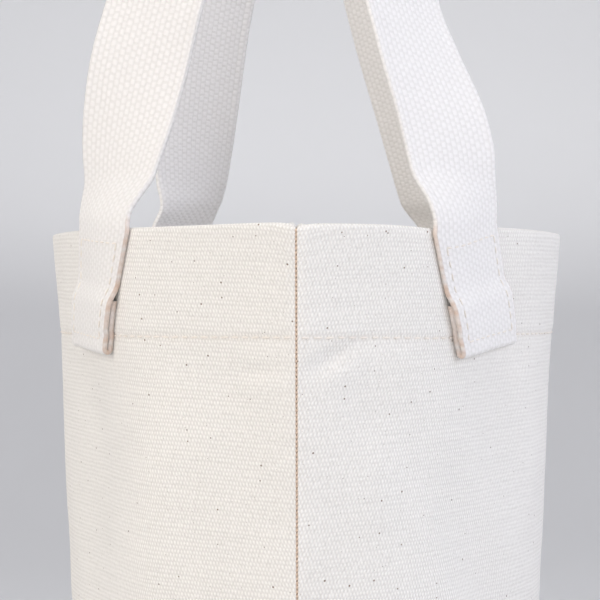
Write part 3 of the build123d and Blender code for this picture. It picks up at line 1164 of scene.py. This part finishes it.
class Seamstress:
    """Sews rows of stitches with one geometry node tree."""

    def __init__(self) -> None:
        """Make the node tree."""
        self.tree = bpy.data.node_groups.new("row of stitches", "GeometryNodeTree")
        for name, kind in (("Path", "Geometry"), ("Pitch", "Float"),
                           ("Stitch Length", "Float"), ("Thread Width", "Float"),
                           ("Seed", "Int"), ("Thread", "Material")):
            self.tree.interface.new_socket(name, in_out="INPUT",
                                           socket_type="NodeSocket" + kind)
        self.tree.interface.new_socket("Stitches", in_out="OUTPUT",
                                       socket_type="NodeSocketGeometry")
        given = put(self.tree, "NodeGroupInput").node.outputs
        line = self.geo("MeshToCurve", {0: given["Path"]})
        line = self.geo("ResampleCurve", {"Curve": line, "Length": given["Pitch"]},
                        mode="LENGTH")
        lie, up = (self.geo("InputNamedAttribute", {"Name": name}, data_type="FLOAT_VECTOR")
                   for name in ("along", "up"))
        turn = put(self.tree, "FunctionNodeAxesToRotation",
                   {"Primary Axis": lie, "Secondary Axis": up},
                   primary_axis="X", secondary_axis="Z")
        vary = self.chance("FLOAT", given["Seed"], 0.86, 1.04)
        tilt = self.chance("FLOAT_VECTOR", given["Seed"], (-0.04, -0.02, -0.09),
                           (0.04, 0.02, 0.09))
        half = put(self.tree, "ShaderNodeMath", {0: given["Stitch Length"], 1: vary},
                   operation="MULTIPLY")
        size = put(self.tree, "ShaderNodeCombineXYZ",
                   {0: half, 1: given["Thread Width"], 2: given["Thread Width"]})
        grain = self.geo("MeshUVSphere", {"Segments": 8, "Rings": 7, "Radius": 0.5})
        grain = self.geo("SetShadeSmooth", {0: grain})
        sewn = self.geo("InstanceOnPoints", {"Points": line, "Instance": grain,
                                             "Rotation": turn, "Scale": size})
        sewn = self.geo("RotateInstances", {"Instances": sewn, "Rotation": tilt})
        sewn = self.geo("RealizeInstances", {0: sewn})
        sewn = self.geo("SetMaterial", {0: sewn, "Material": given["Thread"]})
        put(self.tree, "NodeGroupOutput", {0: sewn})

    def geo(self, kind: str, links: dict[Any, Any], **settings: Any) -> Any:
        """Add one geometry node, named without its prefix."""
        return put(self.tree, "GeometryNode" + kind, links, **settings)

    def chance(self, kind: str, seed: Any, low: Any, high: Any) -> Any:
        """Socket of a random value for each stitch."""
        node = put(self.tree, "FunctionNodeRandomValue", {"Seed": seed}, data_type=kind).node
        for name, value in (("Min", low), ("Max", high)):
            node.inputs[name].default_value = value
        return next(out for out in node.outputs if out.enabled)

    def sew(self, name: str, paths: Iterable[StitchPath], sizes: tuple[float, float, float],
            thread: bpy.types.Material) -> bpy.types.Object:
        """Sew stitches along paths.

        Args:
            name: Name of the finished object.
            paths: Lines to follow, in metres.
            sizes: Pitch, stitch length and thread width in millimetres.
            thread: Material of the thread.

        Returns:
            The stitches as a plain mesh.
        """
        points, edges, ups, alongs = [], [], [], []
        for path in paths:
            base = len(points)
            points += path.points
            ups += path.normals
            alongs += path.alongs
            edges += [(base + i, base + i + 1) for i in range(len(path.points) - 1)]
        mesh = bpy.data.meshes.new(name + "_path")
        mesh.from_pydata(points, edges, [])
        lies = {"up": ups, "along": alongs}
        for label, values in lies.items():
            data = mesh.attributes.new(label, "FLOAT_VECTOR", "POINT").data
            data.foreach_set("vector", [c for v in values for c in v])
        guide = show(name + "_guide", mesh)
        made = guide.modifiers.new("stitches", "NODES")
        made.node_group = self.tree
        pitch, length, width = (size * MM for size in sizes)
        wanted = {"Pitch": pitch, "Stitch Length": length, "Thread Width": width,
                  "Seed": SEED, "Thread": thread}
        for item in self.tree.interface.items_tree:
            if item.in_out == "INPUT" and item.name in wanted:
                made[item.identifier] = wanted[item.name]
        view = bpy.context.evaluated_depsgraph_get()
        done = bpy.data.meshes.new_from_object(guide.evaluated_get(view))
        done.name = name
        bpy.data.objects.remove(guide)
        for label in lies:
            if label in done.attributes:
                done.attributes.remove(done.attributes[label])
        return show(name, done)


@dataclass(frozen=True)
class Stitching:
    """Where the bag's threads run, and their sizes: pitch, stitch length and width."""

    form: BagForm
    hem_sizes: tuple[float, float, float] = (2.5, 1.95, 0.42)
    foot_sizes: tuple[float, float, float] = (2.5, 1.9, 0.42)
    binding_sizes: tuple[float, float, float] = (3.0, 2.2, 0.42)
    ladder_sizes: tuple[float, float, float] = (0.91, 0.82, 0.42)
    thread: float = 0.42
    hem_gap: float = 14.0
    box_margin: float = 2.6
    box_rows: Pair = (23.2, 2.8)
    base_height: float = 6.5
    base_points: int = 240

    def hem(self, handle: Handle) -> list[StitchPath]:
        """Hem line of one panel, broken under its handle's feet."""
        f, side, z = self.form, handle.side, self.form.hem_line
        reach = f.reach(z) - 2.0
        hidden = [handle.foot_s(end) - end.value * (f.height - z)
                  * math.tan(math.radians(LEGS[side, end].slant)) for end in End]
        runs = [[]]
        for s in spread(-reach, reach, 0.8):
            if not any(abs(s - at) < self.hem_gap for at in hidden):
                runs[-1].append(s)
            elif runs[-1]:
                runs.append([])
        return [StitchPath([f.place(side, s, z, 0.1) for s in run],
                           [f.normal(side, s, z) for s in run])
                for run in runs if len(run) > 4]

    def foot(self, handle: Handle, end: End) -> list[StitchPath]:
        """Box of stitches through one foot, a path for each side of the box."""
        wide, (low, high) = handle.width / 2 - self.box_margin, self.box_rows
        corners = [(-wide, low), (wide, low), (wide, high), (-wide, high), (-wide, low)]
        paths = []
        for (a0, d0), (a1, d1) in zip(corners, corners[1:]):
            points, normals = [], []
            for t in spread(0.04, 0.96, 1.0 / math.hypot(a1 - a0, d1 - d0)):
                a, d = a0 + (a1 - a0) * t, d0 + (d1 - d0) * t
                off = handle.seen_off(d) + handle.thick / 2 - self.thread * 0.12
                points.append(handle.on_panel(end, a, d, off))
                out = handle.on_panel(end, a, d, off + 1.0)
                normals.append((out - points[-1]).normalized())
            paths.append(StitchPath(points, normals))
        return paths

    def beside_seam(self, end: End, inset: float, y: float, heights: list[float],
                    lie: Vector | None = None) -> StitchPath:
        """Line that follows a side seam.

        Args:
            end: Which seam.
            inset: Distance towards the middle of the bag from the fold's centre.
            y: Where it runs across the seam.
            heights: Heights of its points.
            lie: Direction of every stitch, if it isn't along the line.

        Returns:
            The path.
        """
        out = Vector((0, math.copysign(1, y), 0)) if y else Vector((end.value, 0, 0))
        points = [Vector((end.value * (self.form.bend_centre(z) - inset), y, z)) * MM
                  for z in heights]
        return StitchPath(points, [out] * len(points), lie)

    def seam_inside(self, end: End) -> list[StitchPath]:
        """Stitches down both faces of a seam binding."""
        f = self.form
        off = f.seam_gap + f.cloth + 0.05 + 0.75 + self.thread * 0.3
        heights = spread(f.allowance_start + 2.5, f.height - f.hem_depth - 3.0, 3.0)
        return [self.beside_seam(end, 5.6, y, heights) for y in (-off, off)]

    def seam_ladder(self, end: End) -> list[StitchPath]:
        """Threads that cross the narrow gap between the two panels."""
        return [self.beside_seam(end, -0.26, 0.0, spread(3.0, self.form.height - 1.6, 2.0),
                                 Vector((0.0, 0.45, 0.9)).normalized())]

    def base_ring(self, base: Base) -> list[StitchPath]:
        """Stitches round the inside of the base binding."""
        inset = self.form.cloth * 2 + base.fit + 0.1 + base.tape + self.thread * 0.4
        angles = [2 * math.pi * i / self.base_points for i in range(self.base_points + 1)]
        z = self.base_height
        return [StitchPath([Vector((*base.plan_point(a, z, inset), z)) * MM for a in angles],
                           [Vector((-math.cos(a), -math.sin(a), 0)) for a in angles])]


# ---- the studio ---------------------------------------------------------------------
@dataclass(frozen=True)
class Studio:
    """Pale cove with soft light from both sides, and the camera level with the rim."""

    floor_radius: float = 1.15
    cove_radius: float = 2.3
    wall_height: float = 6.0
    sides: int = 96
    cove_steps: int = 24
    lens: float = 135.0
    sensor: float = 36.0
    camera_place: tuple[float, float, float] = (0.542, 0.0118, 0.1944)
    camera_way: tuple[float, float, float] = (-1.0, -0.02444, 0.0)

    def cove(self) -> bpy.types.Object:
        """Make the round floor and wall in one sweep."""
        nodes = Nodes("matt grey cove paint", {"Roughness": 0.95})
        roller = nodes.fuzz(nodes.put("TexCoord").node.outputs["Object"], 1.2, 2.0)
        nodes.tree.links.new(nodes.mix(roller, "#d2d2d3", "#d8d8d9"),
                             nodes.shader["Base Color"])
        profile = [(0.4, 0.0), (0.8, 0.0), (self.floor_radius, 0.0)]
        for k in range(1, self.cove_steps + 1):
            a = math.pi / 2 * k / self.cove_steps
            profile.append((self.floor_radius + self.cove_radius * math.sin(a),
                            self.cove_radius - self.cove_radius * math.cos(a)))
        profile.append((self.floor_radius + self.cove_radius, self.wall_height))
        piece = Weaver("studio_cove", nodes.made)
        turns = [2 * math.pi * i / self.sides for i in range(self.sides)]
        rows = [[piece.add(Vector((r * math.cos(a), r * math.sin(a), z)), (r, a))
                 for a in turns] for r, z in profile]
        piece.grid(rows, close_columns=True)
        piece.fan(rows[0], piece.add(Vector((0.0, 0.0, 0.0)), (0.0, 0.0)))
        return piece.finish_piece()

    def lamp(self, name: str, place: tuple[float, float, float], size: float, power: float,
             colour: str, aim: tuple[float, float, float] = (0.0, 0.0, 0.18)) -> None:
        """Hang one soft square lamp.

        Args:
            name: Name of the lamp.
            place: Where it hangs, in metres.
            size: Width of its diffuser in metres.
            power: Watts.
            colour: sRGB hex of its light.
            aim: Point it faces.
        """
        data = bpy.data.lights.new(name, "AREA")
        data.size = size
        data.energy = power
        data.color = linear_colour(colour)[:3]
        lamp = show(name, data)
        lamp.location = place
        lamp.visible_camera = False
        lamp.rotation_euler = (Vector(aim) - Vector(place)).to_track_quat("-Z", "Y").to_euler()

    def light(self) -> None:
        """Hang the lamps and set the sky and the colour transform."""
        self.lamp("warm_side_window", (1.25, -1.55, 0.85), 1.3, 19.8, "#fff9f1")
        self.lamp("cool_side_window", (0.85, 1.75, 0.8), 1.3, 20.5, "#eaefff")
        self.lamp("camera_side_fill", (2.2, 0.0, 0.4), 1.4, 9.5, "#fff8f5")
        self.lamp("top_softbox", (0.3, 0.0, 2.2), 1.8, 11.0, "#ffffff")
        self.lamp("wall_wash", (-1.9, 0.0, 1.1), 1.2, 4.6, "#ffffff", (-3.5, 0.0, 1.3))
        world = bpy.data.worlds.new("studio air")
        world.use_nodes = True
        sky = world.node_tree.nodes["Background"]
        sky.inputs["Color"].default_value = linear_colour("#f2f3f7")
        sky.inputs["Strength"].default_value = 1.0
        scene = bpy.context.scene
        scene.world = world
        scene.view_settings.view_transform = "Standard"
        scene.view_settings.look = "None"

    def camera(self) -> None:
        """Set the camera level, square to the +X seam and a little below the rim."""
        data = bpy.data.cameras.new("camera")
        data.lens = self.lens
        data.sensor_width = self.sensor
        cam = show("camera", data)
        cam.location = self.camera_place
        cam.rotation_euler = Vector(self.camera_way).to_track_quat("-Z", "Y").to_euler()
        bpy.context.scene.camera = cam


# ---- assembly -----------------------------------------------------------------------
def settle(piece: bpy.types.Object, slot: str, *nodes: str) -> None:
    """Hand one finished piece of the bag's body to the frame.

    Args:
        piece: The piece.
        slot: Name of a material slot; not used.
        *nodes: CAD nodes it stands for.
    """
    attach(piece, "bag")
    if nodes:
        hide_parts(*nodes)
    LOG.info("%s: %d faces for %s", piece.name, len(piece.data.polygons), ", ".join(nodes))


def build_bag() -> None:
    """Build every piece of the bag, and hand all but the handle webbing to the frame."""
    form = BagForm()
    canvas, strap, tape = CANVAS.build(), STRAP.build(), TAPE.build()
    # the seam's cross threads get the copy of the thread painted in shade
    thread, seam_thread = WHITE_THREAD.build(), SHADED_SEAM_THREAD.build()
    needle, rows = Seamstress(), Stitching(form)
    for side in Side:
        label = side.name.lower()
        panel = Panel(form, side).build(canvas)
        settle(panel, "canvas", f"{label}_panel")
        handle = Handle(form, side)
        webbing = handle.build(strap)
        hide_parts(f"{label}_handle_webbing", f"{label}_left_handle_foot",
                    f"{label}_right_handle_foot")
        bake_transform(webbing)
        LOG.info("%s: %d faces", webbing.name, len(webbing.data.polygons))
        settle(needle.sew(f"{label}_hem_thread", rows.hem(handle), rows.hem_sizes, thread),
               "thread", f"{label}_hem_stitching")
        for end in End:
            name = f"{label}_{end.name.lower()}_foot"
            settle(needle.sew(f"{name}_thread", rows.foot(handle, end), rows.foot_sizes,
                              thread), "thread", f"{name}_stitching")
    base = Base(form)
    floor = base.build(canvas)
    settle(floor, "canvas", "base_panel")
    settle(base.build_binding(tape), "binding_tape", "base_seam_binding")
    settle(needle.sew("base_seam_thread", rows.base_ring(base), rows.binding_sizes, thread),
           "thread", "base_seam_stitching")
    for end in End:
        label = end.name.lower()
        settle(SideBinding(form, end).build(tape), "binding_tape", f"{label}_seam_binding")
        settle(needle.sew(f"{label}_seam_thread", rows.seam_inside(end), rows.binding_sizes,
                          thread), "thread", f"{label}_seam_stitching")
        settle(needle.sew(f"{label}_seam_cross_thread", rows.seam_ladder(end),
                          rows.ladder_sizes, seam_thread), "thread")


def main() -> None:
    """Build the bag, its stage, its lights and its camera."""
    logging.basicConfig(level=logging.INFO, format="%(name)s: %(message)s")
    random.seed(SEED)
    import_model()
    build_bag()
    studio = Studio()
    studio.cove()
    studio.light()
    studio.camera()


if __name__ == "__main__":
    main()
